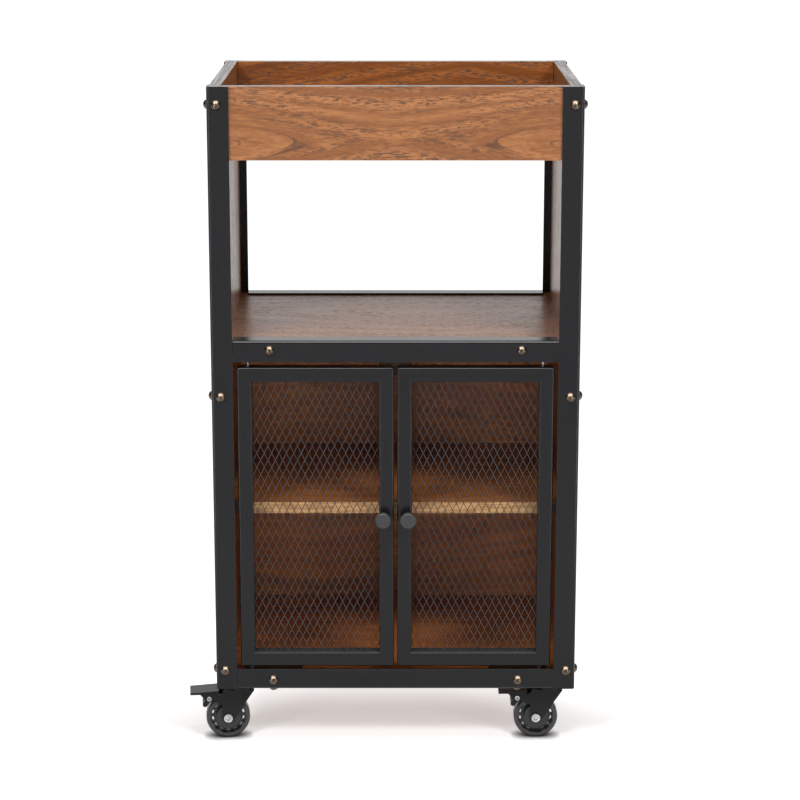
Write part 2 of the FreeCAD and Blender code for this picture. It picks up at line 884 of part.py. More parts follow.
def save_fasteners():
    both = [side for name, side in sides]
    edge_places = [place for side in both for place in leg_edge_places(side)]
    face_places = [place for side in both for place in leg_face_places(side)]
    rail_rows = rail_places(shelf_rail_top - rail_bolt_drop) + rail_places(leg_foot + rail_bolt_drop)
    save("leg_edge_bolts", group(dome_bolt(s, a, leg_edge_bolt_length) for s, a in edge_places))
    save("leg_face_bolts", group(dome_bolt(s, a, leg_face_bolt_length) for s, a in face_places))
    save("rail_bolts", group(dome_bolt(s, a, rail_bolt_length) for s, a in rail_rows))
    save("floor_bolts", group(dome_bolt(s, a, floor_bolt_length) for s, a in floor_places()))
    save("dowels", group(all_dowels()))
    pins = [shelf_pin(place, axis) for side in both for place, axis in shelf_pin_places(side)]
    save("shelf_pins", group(pins))
    save("caster_screws", group(plate_screw(place) for place in all_plate_screw_places()))


def save_doors():
    both = [side for name, side in sides]
    save("hinge_brackets_lower", group(lower_bracket(side) for side in both))
    save("hinge_brackets_upper", group(upper_bracket(side) for side in both))
    save("pivot_pins_lower", group(lower_pin(side) for side in both))
    save("pivot_pins_upper", group(upper_pin(side) for side in both))
    save("door_catch", catch_body())
    save("catch_magnets", group(magnet(side) for side in both))
    for name, side in sides:
        save("door_frame_" + name, door_frame(side))
        save("door_mesh_" + name, door_mesh(side))
        save("door_knob_" + name, knob(side))
        save("knob_screw_" + name, knob_screw(side))


def save_casters():
    corners = [(side, end) for name, side in sides for other, end in ends]
    save("caster_plates", group(caster_plate(side, end) for side, end in corners))
    save("caster_kingpins", group(kingpin(side, end) for side, end in corners))
    for name, side in sides:
        for other, end in ends:
            braked = end < 0
            turn = front_left_turn if braked and side < 0 else other_turn
            for piece, shape in caster_pieces(braked).items():
                turned = shape.rotated(point(0, 0, 0), up, turn)
                save("caster_" + other + "_" + name + "_" + piece, turned.translated(plate_centre(side, end)))


save_frame()
save_fasteners()
save_doors()
save_casters()
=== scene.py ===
import json
import math

import bmesh
import bpy
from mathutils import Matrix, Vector


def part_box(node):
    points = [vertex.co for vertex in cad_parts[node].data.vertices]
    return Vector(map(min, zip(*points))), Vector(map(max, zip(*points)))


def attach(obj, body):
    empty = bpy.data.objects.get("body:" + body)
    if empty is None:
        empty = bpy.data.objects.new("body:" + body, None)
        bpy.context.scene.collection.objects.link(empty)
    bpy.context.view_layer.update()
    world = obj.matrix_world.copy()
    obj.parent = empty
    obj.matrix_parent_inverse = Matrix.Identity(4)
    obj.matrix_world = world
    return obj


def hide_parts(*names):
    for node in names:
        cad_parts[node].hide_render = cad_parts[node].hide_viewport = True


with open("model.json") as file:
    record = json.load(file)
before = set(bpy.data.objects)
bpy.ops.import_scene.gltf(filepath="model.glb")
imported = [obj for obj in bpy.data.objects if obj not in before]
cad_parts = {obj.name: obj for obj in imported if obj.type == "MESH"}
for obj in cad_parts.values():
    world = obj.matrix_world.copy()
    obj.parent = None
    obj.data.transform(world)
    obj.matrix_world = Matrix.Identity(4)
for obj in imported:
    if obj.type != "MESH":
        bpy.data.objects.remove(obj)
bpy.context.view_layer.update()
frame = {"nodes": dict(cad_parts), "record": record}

# Camera, fitted to the edges of the legs and rails
camera_place = (0.0, -3.401, 1.272)
camera_pitch_deg = 76.61
camera_lens = 107.3
camera_sensor = 36.0
camera_shift = 0.0056

# Floor, the painted soft shade under the cart and the painted dark contact shadows under the wheels
floor_size = 40.0
floor_colour = (0.75, 0.745, 0.74, 1.0)
# Painted shade: the floor's glow is dimmed in a soft ellipse under the cart
shade_centre = (0.0, -0.16, 0.0)
shade_shares = (0.62, 1.6, 1.0)
shade_near = 0.16
shade_far = 0.46
shade_glow_share = 0.46
# Painted contact shadow: beside the wheels the floor's glow and colour are darkened towards this colour
contact_shadow_colour = (0.035, 0.022, 0.018, 1.0)
contact_shadow_reach = 0.017
contact_shadow_power = 2.2
contact_shadow_samples = 8

# White paper on the floor, as the gloss of the steel sees it
paper_front = -0.36
paper_fade = 0.14
far_paper_start = -3.0
far_paper_end = -7.0
far_paper_share = 0.7

# Room: an even fill, and white cards that only gloss sees, with limits on the parts of a unit direction
white = (1.0, 1.0, 1.0, 1.0)
room_fill = 0.20
room_dark_share = 0.10
card_side_shares = (0.22, 0.40)
card_back_shares = (0.0, 0.3)
overhead_glow = 7.0
overhead_rise_shares = (0.60, 0.72)
overhead_back_shares = (0.10, 0.30)
overhead_side_shares = (0.55, 0.70)

# Lamps
lamp_aim = (0.0, 0.0, 0.5)
top_watts = 8.0
top_place = (0.0, -0.95, 2.6)
top_size = (0.6, 0.4)
key_watts = 27.0
key_place = (1.2, -1.9, 2.2)
key_size = (0.6, 0.6)
strip_watts = 4.0
strip_place = (0.95, -1.0, 0.45)
strip_size = (0.12, 0.9)
front_watts = 25.0
front_place = (0.0, -4.2, 0.55)
front_size = (1.2, 1.2)

# Expanded metal of the doors
mesh_pitch_across = 0.01035
mesh_pitch_up = 0.0203
knuckle_half_across = 0.00040
knuckle_half_up = 0.00115
strand_tilt = 0.0004
strand_thick = 0.0005
mesh_weld_bite = 0.0003
same_point = 0.00001

# Noise: octaves of detail, and the middle of its range
few_octaves = 1.0
some_octaves = 2.0
more_octaves = 3.0
most_octaves = 4.0
middle_share = 0.5
noise_middle = (middle_share, middle_share, middle_share)

# Growth rings of the wood, in metres, with the wander in cells per metre along, through and across
ring_width = 0.0062
ring_wander = 0.018
ring_stretch_share = 0.20
pointed_share = 0.55
book_match_round = 0.05
wander_rate = (4.0, 20.0, 20.0)

# Dark lines and tones that follow the rings, in cells per metre along, per ring and per metre across
line_rate = (5.0, 0.7, 14.0)
line_spacing_share = 0.42
line_sway_share = 1.6
line_half_share = 0.07
patch_rate = (11.0, 0.8, 20.0)
patch_shares = (0.44, 0.60)
tone_rate = (2.6, 0.5, 9.0)
tone_shares = (0.30, 0.70)

# Pores: long ones follow the rings and fine ones the board, and both thin out near the heart
long_pore_rate = (62.0, 5.0, 90.0)
long_pore_shares = (0.55, 0.63)
fine_pore_rate = (110.0, 640.0, 640.0)
fine_pore_shares = (0.51, 0.61)
heart_rings = (1.0, 7.0)
heart_pore_share = 0.30
pore_room_rate = (4.0, 0.5, 12.0)
pore_room_shares = (0.36, 0.62)
sparse_pore_share = 0.25

# Surface of the boards: fibres, depth, gloss and wear
fibre_rate = (50.0, 430.0, 430.0)
fibre_height_share = 0.4
pore_depth_share = 0.7
line_depth_share = 0.3
board_bump_share = 0.22
board_bump_depth = 0.0003
board_rough = 0.22
fibre_rough = 0.16
pore_rough = 0.2
line_dark_share = 0.78
pore_dark_share = 0.80
board_wear_share = 0.35

# Board colours, as a darker and a lighter tone; the tray's set holds painted shade, the inside and cabinet
# floor sets painted light
face_tones = ((0.228, 0.082, 0.025, 1.0), (0.365, 0.146, 0.050, 1.0))
# Painted shade: a deeper orange copy of the face tones for the shaded back board of the tray
tray_painted_shade_tones = ((0.238, 0.073, 0.015, 1.0), (0.375, 0.128, 0.029, 1.0))
# Painted light: a brighter, more saturated copy of the face tones for the cabinet's back and inner shelf,
# lit through the mesh
inside_painted_light_tones = ((0.36, 0.108, 0.021, 1.0), (0.54, 0.185, 0.040, 1.0))
# Painted light: a still brighter copy of the face tones for the cabinet's bottom board, a painted pool of
# light
cabinet_floor_painted_light_tones = ((0.38, 0.112, 0.022, 1.0), (0.58, 0.195, 0.042, 1.0))
worn_board = (0.365, 0.146, 0.050, 1.0)
# Dark grain lines; the same colour is the painted shade at the ends of the inner shelf's raw edge
board_line_and_shade = (0.070, 0.032, 0.019, 1.0)
board_pore = (0.050, 0.026, 0.018, 1.0)

# Heart of each board's rings: its place along the grain, then its two places across it
front_board_heart = (0.250, -0.191, 0.863)
back_board_heart = (0.110, 0.150, 0.868)
side_panel_heart = (0.420, 0.030, -0.245)
shelf_heart = (0.070, 0.030, 0.560)
tray_floor_heart = (-0.060, 0.020, 0.826)
cabinet_back_heart = (-0.120, 0.170, 0.330)
cabinet_floor_heart = (0.050, 0.030, 0.095)
inner_shelf_heart = (-0.060, 0.010, 0.320)

# Edges of the boards: a grey band on the tray's rim, and a raw edge along the front of the inner shelf whose
# ends are darkened as painted shade
edge_facing_shares = (0.55, 0.9)
front_facing_shares = (-0.55, -0.9)
streak_shares = (0.38, 0.58)
rim_tones = ((0.028, 0.022, 0.019, 1.0), (0.27, 0.245, 0.232, 1.0))
long_rim_rate = (14.0, 340.0, 340.0)
deep_rim_rate = (340.0, 7.0, 340.0)
raw_edge_tones = ((0.35, 0.175, 0.064, 1.0), (0.56, 0.32, 0.135, 1.0))
raw_edge_rate = (40.0, 420.0, 420.0)
# Painted shade: beyond this distance from the middle the raw edge darkens, where the door frame shades it
raw_edge_shade_start = 0.219
raw_edge_shade_fade = 0.004

# Rounding and rubbing of hard edges
edge_samples = 6
edge_turn_shares = (0.72, 0.99)
rub_rate = (140.0, 140.0, 140.0)
rub_shares = (0.35, 0.65)
board_edge_radius = 0.0008
coat_edge_radius = 0.0005
plate_edge_radius = 0.0003
mesh_edge_radius = 0.0002
knob_edge_radius = 0.001

# Painted and moulded skins
even_rate = (1.0, 1.0, 1.0)
coat_peel_rate = 700.0
mottle_rate = (11.0, 11.0, 7.0)
mottle_shares = (0.3, 0.7)
mottle_dark_share = 0.92
coat_gloss_swing = 0.06
coat_wear_share = 0.5
skin_bump_depth = 0.0002
steel_black = (0.009, 0.009, 0.0105, 1.0)
worn_steel = (0.04, 0.04, 0.042, 1.0)
worn_black = (0.05, 0.05, 0.05, 1.0)

# Dust that dulls the ledge of each door's lower tube
ledge_height = 0.200
ledge_fade = 0.020
ledge_facing_shares = (0.05, 0.35)
ledge_dust_rough = 0.5

# Plated metal
plate_peel_rate = 900.0
plate_peel_share = 0.08
cloud_rate = (260.0, 260.0, 260.0)
cloud_shares = (0.35, 0.65)
plate_gloss_swing = 0.12
plate_wear_share = 0.6

# Raw beech of the dowels
beech_pale = (0.72, 0.52, 0.32, 1.0)
beech_fleck = (0.48, 0.30, 0.16, 1.0)
fleck_rate = (90.0, 700.0, 700.0)
fleck_shares = (0.5, 0.7)


class Graph:
    """Adds nodes to the tree of a material, group or world and joins them."""

    def __init__(self, tree):
        self.tree = tree

    def feed(self, value, socket):
        if isinstance(value, bpy.types.NodeSocket):
            self.tree.links.new(value, socket)
        else:
            socket.default_value = value

    def add(self, kind, inputs=None, **settings):
        made = self.tree.nodes.new("ShaderNode" + kind)
        for name, value in settings.items():
            setattr(made, name, value)
        for socket, value in (inputs or {}).items():
            self.feed(value, made.inputs[socket])
        return made

    def place_group(self, group, inputs):
        made = self.add("Group", node_tree=group)
        for socket, value in inputs.items():
            self.feed(value, made.inputs[socket])
        return made.outputs

    def math(self, operation, *values):
        made = self.add("Math", operation=operation)
        for value, socket in zip(values, made.inputs):
            self.feed(value, socket)
        return made.outputs[0]

    def hypotenuse(self, first, second):
        squares = [self.math("POWER", value, 2.0) for value in (first, second)]
        return self.math("SQRT", self.math("ADD", *squares))

    def vector(self, operation, first, second):
        made = self.add("VectorMath", operation=operation)
        self.feed(first, made.inputs[0])
        self.feed(second, made.inputs[1])
        return made.outputs[0]

    def scaled(self, vector, amount):
        made = self.add("VectorMath", operation="SCALE")
        self.feed(vector, made.inputs[0])
        self.feed(amount, made.inputs["Scale"])
        return made.outputs[0]

    def parts(self, vector):
        return self.add("SeparateXYZ", {0: vector}).outputs

    def joined(self, x, y, z):
        return self.add("CombineXYZ", {0: x, 1: y, 2: z}).outputs[0]

    def span(self, value, low, high, to_low=0.0, to_high=1.0):
        """A smooth step from to_low to to_high as the value goes from low to high."""
        made = self.add("MapRange", interpolation_type="SMOOTHSTEP")
        for socket, amount in zip(made.inputs, (value, low, high, to_low, to_high)):
            self.feed(amount, socket)
        return made.outputs[0]

    def mix(self, share, first, second):
        made = self.add("Mix", data_type="RGBA")
        self.feed(share, made.inputs[0])
        self.feed(first, made.inputs[6])
        self.feed(second, made.inputs[7])
        return made.outputs[2]

    def noise(self, place, rate, octaves):
        """Soft noise with its own rate along each axis."""
        made = self.add("TexNoise", {"Scale": 1.0, "Detail": octaves})
        self.feed(self.vector("MULTIPLY", place, rate), made.inputs["Vector"])
        return made.outputs

    def object_place(self):
        return self.add("TexCoord").outputs["Object"]

    def object_normal(self):
        return self.parts(self.add("TexCoord").outputs["Normal"])


def shader_group(name, inputs, outputs):
    """An empty group with named sockets, and the sockets inside it."""
    tree = bpy.data.node_groups.new(name, "ShaderNodeTree")
    for label, kind, value in inputs:
        socket = tree.interface.new_socket(name=label, in_out="INPUT", socket_type=kind)
        socket.default_value = value
    for label, kind in outputs:
        tree.interface.new_socket(name=label, in_out="OUTPUT", socket_type=kind)
    entry = tree.nodes.new("NodeGroupInput")
    leave = tree.nodes.new("NodeGroupOutput")
    return tree, Graph(tree), entry.outputs, leave.inputs


def ring_places(graph, place, run):
    """The number of the ring at each point, and the point on its ring, with its own and the board's run."""
    wander = graph.noise(place, wander_rate, most_octaves)[1]
    centred = graph.vector("SUBTRACT", wander, noise_middle)
    shifted = graph.vector("ADD", place, graph.scaled(centred, ring_wander))
    along, through, across = graph.parts(shifted)
    stretched = graph.math("MULTIPLY", graph.math("ABSOLUTE", along), ring_stretch_share)
    beside = graph.hypotenuse(across, through)
    pointed = graph.math("ADD", stretched, beside)
    rounded = graph.hypotenuse(stretched, beside)
    gap = graph.math("SUBTRACT", pointed, rounded)
    distance = graph.math("ADD", rounded, graph.math("MULTIPLY", gap, pointed_share))
    ring = graph.math("DIVIDE", distance, ring_width)
    beyond = graph.math("ADD", across, through)
    return ring, graph.joined(along, ring, beyond), graph.joined(run, ring, beyond)


def growth_lines(graph, ring, on_ring, on_run):
    """Broken dark lines along the rings."""
    growth = graph.noise(on_ring, line_rate, some_octaves)[0]
    spaced = graph.math("MULTIPLY", ring, line_spacing_share)
    swayed = graph.math("ADD", spaced, graph.math("MULTIPLY", growth, line_sway_share))
    off_line = graph.math("ABSOLUTE", graph.math("SUBTRACT", graph.math("FRACT", swayed), middle_share))
    line = graph.span(off_line, 0.0, line_half_share, 1.0, 0.0)
    patch = graph.span(graph.noise(on_run, patch_rate, more_octaves)[0], *patch_shares)
    return graph.math("MULTIPLY", line, patch)


def open_pores(graph, ring, on_ring, on_run, on_board):
    """Long and fine pores, fewer near the heart and in slow patches."""
    long_pores = graph.span(graph.noise(on_run, long_pore_rate, some_octaves)[0], *long_pore_shares)
    fine_pores = graph.span(graph.noise(on_board, fine_pore_rate, few_octaves)[0], *fine_pore_shares)
    outward = graph.span(ring, *heart_rings, heart_pore_share, 1.0)
    room = graph.noise(on_ring, pore_room_rate, some_octaves)[0]
    patches = graph.span(room, *pore_room_shares, sparse_pore_share, 1.0)
    pore_share = graph.math("MULTIPLY", outward, patches)
    return graph.math("MULTIPLY", graph.math("MAXIMUM", long_pores, fine_pores), pore_share)


def board_grain_group():
    """Growth rings cut lengthwise, with pores, fibres and slow changes of tone."""
    labels = ("Figure", "Pores", "Fibre", "Tone", "Height")
    tree, graph, entry, leave = shader_group(
        "board_grain",
        [("Place", "NodeSocketVector", (0, 0, 0)), ("Run", "NodeSocketFloat", 0.0)],
        [(label, "NodeSocketFloat") for label in labels],
    )
    ring, on_ring, on_run = ring_places(graph, entry["Place"], entry["Run"])
    own_parts = graph.parts(entry["Place"])
    on_board = graph.joined(entry["Run"], own_parts[1], own_parts[2])
    figure = growth_lines(graph, ring, on_ring, on_run)
    pores = open_pores(graph, ring, on_ring, on_run, on_board)
    fibre = graph.noise(on_board, fibre_rate, some_octaves)[0]
    tone = graph.span(graph.noise(on_ring, tone_rate, more_octaves)[0], *tone_shares)
    sunk_pores = graph.math("MULTIPLY", pores, pore_depth_share)
    sunk = graph.math("ADD", sunk_pores, graph.math("MULTIPLY", figure, line_depth_share))
    height = graph.math("SUBTRACT", graph.math("MULTIPLY", fibre, fibre_height_share), sunk)
    for label, value in zip(labels, (figure, pores, fibre, tone, height)):
        graph.feed(value, leave[label])
    return tree


def soft_edge_group():
    """Rounds the edges of a solid in its shading, and marks where they are rubbed."""
    tree, graph, entry, leave = shader_group(
        "soft_edge",
        [("Radius", "NodeSocketFloat", coat_edge_radius), ("Place", "NodeSocketVector", (0, 0, 0))],
        [("Normal", "NodeSocketVector"), ("Wear", "NodeSocketFloat")],
    )
    rounded = graph.add("Bevel", {"Radius": entry["Radius"]}, samples=edge_samples).outputs[0]
    flat = graph.add("NewGeometry").outputs["True Normal"]
    turn = graph.add("VectorMath", {0: rounded, 1: flat}, operation="DOT_PRODUCT").outputs["Value"]
    edge = graph.span(turn, *edge_turn_shares, 1.0, 0.0)
    rubbed = graph.span(graph.noise(entry["Place"], rub_rate, more_octaves)[0], *rub_shares)
    graph.feed(rounded, leave["Normal"])
    graph.feed(graph.math("MULTIPLY", edge, rubbed), leave["Wear"])
    return tree


def coat_texture_group():
    """Orange peel of a sprayed or moulded skin, and the slow mottle of its gloss."""
    tree, graph, entry, leave = shader_group(
        "coat_texture",
        [("Place", "NodeSocketVector", (0, 0, 0)), ("Peel Rate", "NodeSocketFloat", coat_peel_rate)],
        [("Peel", "NodeSocketFloat"), ("Mottle", "NodeSocketFloat")],
    )
    close = graph.scaled(entry["Place"], entry["Peel Rate"])
    graph.feed(graph.noise(close, even_rate, some_octaves)[0], leave["Peel"])
    graph.feed(graph.noise(entry["Place"], mottle_rate, most_octaves)[0], leave["Mottle"])
    return tree


board_grain = board_grain_group()
soft_edge = soft_edge_group()
coat_texture = coat_texture_group()


def new_finish(name, **constants):
    """A material with one Principled shader, whose even values are set on its own sockets."""
    material = bpy.data.materials.new(name)
    material.use_nodes = True
    shader = material.node_tree.nodes["Principled BSDF"]
    for socket, value in constants.items():
        shader.inputs[socket.replace("_", " ")].default_value = value
    return material, Graph(material.node_tree), shader.inputs


def bump(graph, height, normal, strength, depth):
    made = graph.add("Bump", {"Height": height, "Normal": normal})
    made.inputs["Strength"].default_value = strength
    made.inputs["Distance"].default_value = depth
    return made.outputs[0]


def darkened(colour, share):
    return tuple(share * part for part in colour[:3]) + (1.0,)


def edge_band(graph, own_place, colour, axis, facing_shares, tones, rate, shade_start=None):
    """Lays a streaked band over the faces that look along an axis; beyond a given distance from the middle
    the band darkens to the line colour, a painted shade.
    """
    mask = graph.span(graph.object_normal()[axis], *facing_shares)
    dark, pale = tones
    if shade_start:
        from_middle = graph.math("ABSOLUTE", graph.parts(own_place)[0])
        # Painted shade: the band darkens to the line colour towards the ends
        unshaded = graph.span(from_middle, shade_start, shade_start + raw_edge_shade_fade, 1.0, 0.0)
        dark = graph.mix(unshaded, board_line_and_shade, dark)
        pale = graph.mix(unshaded, board_line_and_shade, pale)
    streaks = graph.span(graph.noise(own_place, rate, some_octaves)[0], *streak_shares)
    return graph.mix(mask, colour, graph.mix(streaks, dark, pale))


def grain_place(graph, own_place, heart, upright, book_matched):
    """The place from the heart of the rings, turned to run up an upright board, and mirrored if matched."""
    place = own_place
    if book_matched:
        x, y, z = graph.parts(own_place)
        place = graph.joined(graph.hypotenuse(x, book_match_round), y, z)
    turn = (0.0, math.pi / 2 if upright else 0.0, 0.0)
    from_heart = tuple(-part for part in heart)
    return graph.add("Mapping", {"Vector": place, "Rotation": turn, "Location": from_heart}).outputs[0]


def board_finish(name, heart, upright=False, book_matched=False, tones=face_tones, edge=None):
    """Wood-grain laminate, with a band on its edge if one is given."""
    material, graph, shader = new_finish(name)
    own_place = graph.object_place()
    place = grain_place(graph, own_place, heart, upright, book_matched)
    run = graph.parts(own_place)[2 if upright else 0]
    grain = graph.place_group(board_grain, {"Place": place, "Run": run})
    edges = graph.place_group(soft_edge, {"Radius": board_edge_radius, "Place": own_place})
    warm = graph.math("MULTIPLY", graph.math("ADD", grain["Tone"], grain["Fibre"]), middle_share)
    colour = graph.mix(graph.span(warm, *tone_shares), *tones)
    colour = graph.mix(graph.math("MULTIPLY", grain["Figure"], line_dark_share), colour, board_line_and_shade)
    colour = graph.mix(graph.math("MULTIPLY", grain["Pores"], pore_dark_share), colour, board_pore)
    if edge:
        colour = edge_band(graph, own_place, colour, **edge)
    wear = graph.math("MULTIPLY", edges["Wear"], board_wear_share)
    graph.feed(graph.mix(wear, colour, worn_board), shader["Base Color"])
    rough = graph.math("ADD", graph.math("MULTIPLY", grain["Fibre"], fibre_rough), board_rough)
    rough = graph.math("ADD", rough, graph.math("MULTIPLY", grain["Pores"], pore_rough))
    graph.feed(rough, shader["Roughness"])
    normal = bump(graph, grain["Height"], edges["Normal"], board_bump_share, board_bump_depth)
    graph.feed(normal, shader["Normal"])
    return material


def ledge_dust(graph, place, ledge):
    """How dusty a point is: all over what looks up below the ledge's height."""
    below = graph.span(graph.parts(place)[2], ledge, ledge + ledge_fade, 1.0, 0.0)
    return graph.math("MULTIPLY", below, graph.span(graph.object_normal()[2], *ledge_facing_shares))


def coated_finish(
    name, colour, worn, rough, peel_rate, peel_share, specular=0.5, edge_radius=coat_edge_radius, ledge=None
):
    """Paint, powder coat, plastic or rubber: an even colour with peel, mottled gloss and rubbed edges."""
    material, graph, shader = new_finish(name, Specular_IOR_Level=specular)
    place = graph.object_place()
    coat = graph.place_group(coat_texture, {"Place": place, "Peel Rate": peel_rate})
    edges = graph.place_group(soft_edge, {"Radius": edge_radius, "Place": place})
    mottle = graph.span(coat["Mottle"], *mottle_shares)
    shade = graph.mix(mottle, darkened(colour, mottle_dark_share), colour)
    wear = graph.math("MULTIPLY", edges["Wear"], coat_wear_share)
    graph.feed(graph.mix(wear, shade, worn), shader["Base Color"])
    swing = graph.math("MULTIPLY", coat["Mottle"], coat_gloss_swing)
    gloss = graph.math("ADD", swing, rough - coat_gloss_swing / 2)
    if ledge:
        dust = graph.math("MULTIPLY", ledge_dust(graph, place, ledge), ledge_dust_rough)
        gloss = graph.math("ADD", gloss, dust)
    graph.feed(gloss, shader["Roughness"])
    graph.feed(bump(graph, coat["Peel"], edges["Normal"], peel_share, skin_bump_depth), shader["Normal"])
    return material


def plated_finish(name, bright, dull, rough):
    """Bare or plated metal with clouded patches and brighter edges."""
    material, graph, shader = new_finish(name, Metallic=1.0)
    place = graph.object_place()
    coat = graph.place_group(coat_texture, {"Place": place, "Peel Rate": plate_peel_rate})
    edges = graph.place_group(soft_edge, {"Radius": plate_edge_radius, "Place": place})
    clouds = graph.span(graph.noise(place, cloud_rate, more_octaves)[0], *cloud_shares)
    wear = graph.math("MULTIPLY", edges["Wear"], plate_wear_share)
    graph.feed(graph.mix(wear, graph.mix(clouds, dull, bright), bright), shader["Base Color"])
    swing = graph.math("MULTIPLY", clouds, -plate_gloss_swing)
    graph.feed(graph.math("ADD", swing, rough + plate_gloss_swing / 2), shader["Roughness"])
    normal = bump(graph, coat["Peel"], edges["Normal"], plate_peel_share, skin_bump_depth)
    graph.feed(normal, shader["Normal"])
    return material


def dowel_finish():
    """Raw beech with short flecks along the grain."""
    material, graph, shader = new_finish("dowel_beech", Roughness=0.7)
    fleck = graph.span(graph.noise(graph.object_place(), fleck_rate, some_octaves)[0], *fleck_shares)
    graph.feed(graph.mix(fleck, beech_pale, beech_fleck), shader["Base Color"])
    return material


def powder_coat(name, ledge=None):
    """Satin black coat of the frame and the doors' tubes."""
    return coated_finish(
        name, steel_black, worn_steel, rough=0.21, peel_rate=650.0, peel_share=0.05, specular=0.345,
        ledge=ledge,
    )


def frame_steel():
    return powder_coat("frame_powder_coat")


def door_steel():
    return powder_coat("door_powder_coat", ledge_height)


def mesh_steel():
    # Painted sheen: the coat and its edges are lighter and bluer than the frame's black, standing in for the
    # strands' blue-grey glints
    return coated_finish(
        "mesh_coat_painted_sheen", (0.028, 0.038, 0.047, 1.0), (0.08, 0.10, 0.12, 1.0), rough=0.20, peel_rate=900.0,
        peel_share=0.05, specular=0.6, edge_radius=mesh_edge_radius,
    )


def knob_paint():
    return coated_finish(
        "knob_paint", (0.038, 0.038, 0.039, 1.0), (0.14, 0.14, 0.14, 1.0), rough=0.36, peel_rate=420.0,
        peel_share=0.5, edge_radius=knob_edge_radius,
    )


def catch_moulding():
    return coated_finish(
        "catch_moulding", (0.11, 0.05, 0.025, 1.0), (0.16, 0.08, 0.05, 1.0), rough=0.48, peel_rate=1100.0,
        peel_share=0.16,
    )


def caster_steel():
    return coated_finish(
        "caster_black_coat", (0.006, 0.006, 0.0066, 1.0), worn_black, rough=0.30, peel_rate=800.0,
        peel_share=0.10, specular=0.28,
    )


def wheel_moulding():
    return coated_finish(
        "wheel_moulding", (0.014, 0.014, 0.016, 1.0), worn_black, rough=0.28, peel_rate=1000.0,
        peel_share=0.06,
    )


def tyre_tread():
    return coated_finish(
        "tyre_tread", (0.028, 0.028, 0.029, 1.0), worn_black, rough=0.36, peel_rate=1200.0, peel_share=0.14
    )


def bolt_bronze():
    return plated_finish(
        "antique_bronze", (0.165, 0.125, 0.092, 1.0), (0.130, 0.097, 0.070, 1.0), rough=0.29
    )


def zinc_plate():
    return plated_finish("zinc_plate", (0.66, 0.66, 0.68, 1.0), (0.42, 0.42, 0.45, 1.0), rough=0.26)


def pivot_pin_shaded_zinc():
    # Painted shade: a darker copy of the bright zinc, for the pins in the shaded gap under the rail
    return plated_finish("pivot_pin_shaded_zinc", (0.34, 0.34, 0.35, 1.0), (0.20, 0.20, 0.21, 1.0), rough=0.30)


def magnet_pole():
    return plated_finish("magnet_pole", (0.52, 0.52, 0.53, 1.0), (0.36, 0.36, 0.37, 1.0), rough=0.35)


def board_finishes():
    """Finish of each board, by node."""
    rim = {"axis": 2, "facing_shares": edge_facing_shares, "tones": rim_tones}
    long_rim = {**rim, "rate": long_rim_rate}
    deep_rim = {**rim, "rate": deep_rim_rate}
    raw_front = {
        "axis": 1, "facing_shares": front_facing_shares, "tones": raw_edge_tones, "rate": raw_edge_rate,
        "shade_start": raw_edge_shade_start,
    }
    front_board = board_finish("front_board_grain", front_board_heart, book_matched=True, edge=long_rim)
    back_board = board_finish("back_board_grain_painted_shade", back_board_heart, tones=tray_painted_shade_tones, edge=long_rim)
    side_panel = board_finish(
        "side_panel_grain", side_panel_heart, upright=True, book_matched=True, edge=deep_rim
    )
    cabinet_floor = board_finish("cabinet_floor_grain_painted_light", cabinet_floor_heart, tones=cabinet_floor_painted_light_tones)
    cabinet_back = board_finish("cabinet_back_grain_painted_light", cabinet_back_heart, tones=inside_painted_light_tones)
    inner_shelf = board_finish("inner_shelf_grain_painted_light_and_shade", inner_shelf_heart, tones=inside_painted_light_tones, edge=raw_front)
    return {
        "tray_front_board": front_board,
        "tray_back_board": back_board,
        "side_panel_left": side_panel,
        "side_panel_right": side_panel,
        "tray_floor": board_finish("tray_floor_grain", tray_floor_heart),
        "shelf_board": board_finish("shelf_grain", shelf_heart),
        "bottom_board": cabinet_floor,
        "back_panel": cabinet_back,
        "inner_shelf": inner_shelf,
    }


def slot_finishes():
    """Finish of each material slot that isn't a board, and of the doors' tubes and pivot pins."""
    return {
        "black_steel": frame_steel(),
        "door_steel": door_steel(),
        "mesh_steel": mesh_steel(),
        "knob_black": knob_paint(),
        "catch_plastic": catch_moulding(),
        "caster_steel": caster_steel(),
        "wheel_plastic": wheel_moulding(),
        "tyre_black": tyre_tread(),
        "bronze_bolt": bolt_bronze(),
        "bright_zinc": zinc_plate(),
        "pivot_pin": pivot_pin_shaded_zinc(),
        "magnet_steel": magnet_pole(),
        "dowel_wood": dowel_finish(),
    }


def set_finish(piece, finish):
    piece.data.materials.clear()
    piece.data.materials.append(finish)


def finish_nodes(boards, slots):
    """Gives every solid of the frame its finish."""
    own_finishes = (("pivot_pins", "pivot_pin"), ("door_frame", "door_steel"))
    slot_of = {row["node"]: row["material_slot"] for row in frame["record"]["subparts"]}
    for name, piece in frame["nodes"].items():
        own = next((slots[finish] for start, finish in own_finishes if name.startswith(start)), None)
        set_finish(piece, own or boards.get(name) or slots[slot_of[name]])


def new_piece(name, bm):
    """An object at the origin with the finished mesh."""
    mesh = bpy.data.meshes.new(name)
    bm.to_mesh(mesh)
    bm.free()
    piece = bpy.data.objects.new(name, mesh)
    bpy.context.scene.collection.objects.link(piece)
    return piece


def vertices_of(geom):
    return [part for part in geom if isinstance(part, bmesh.types.BMVert)]


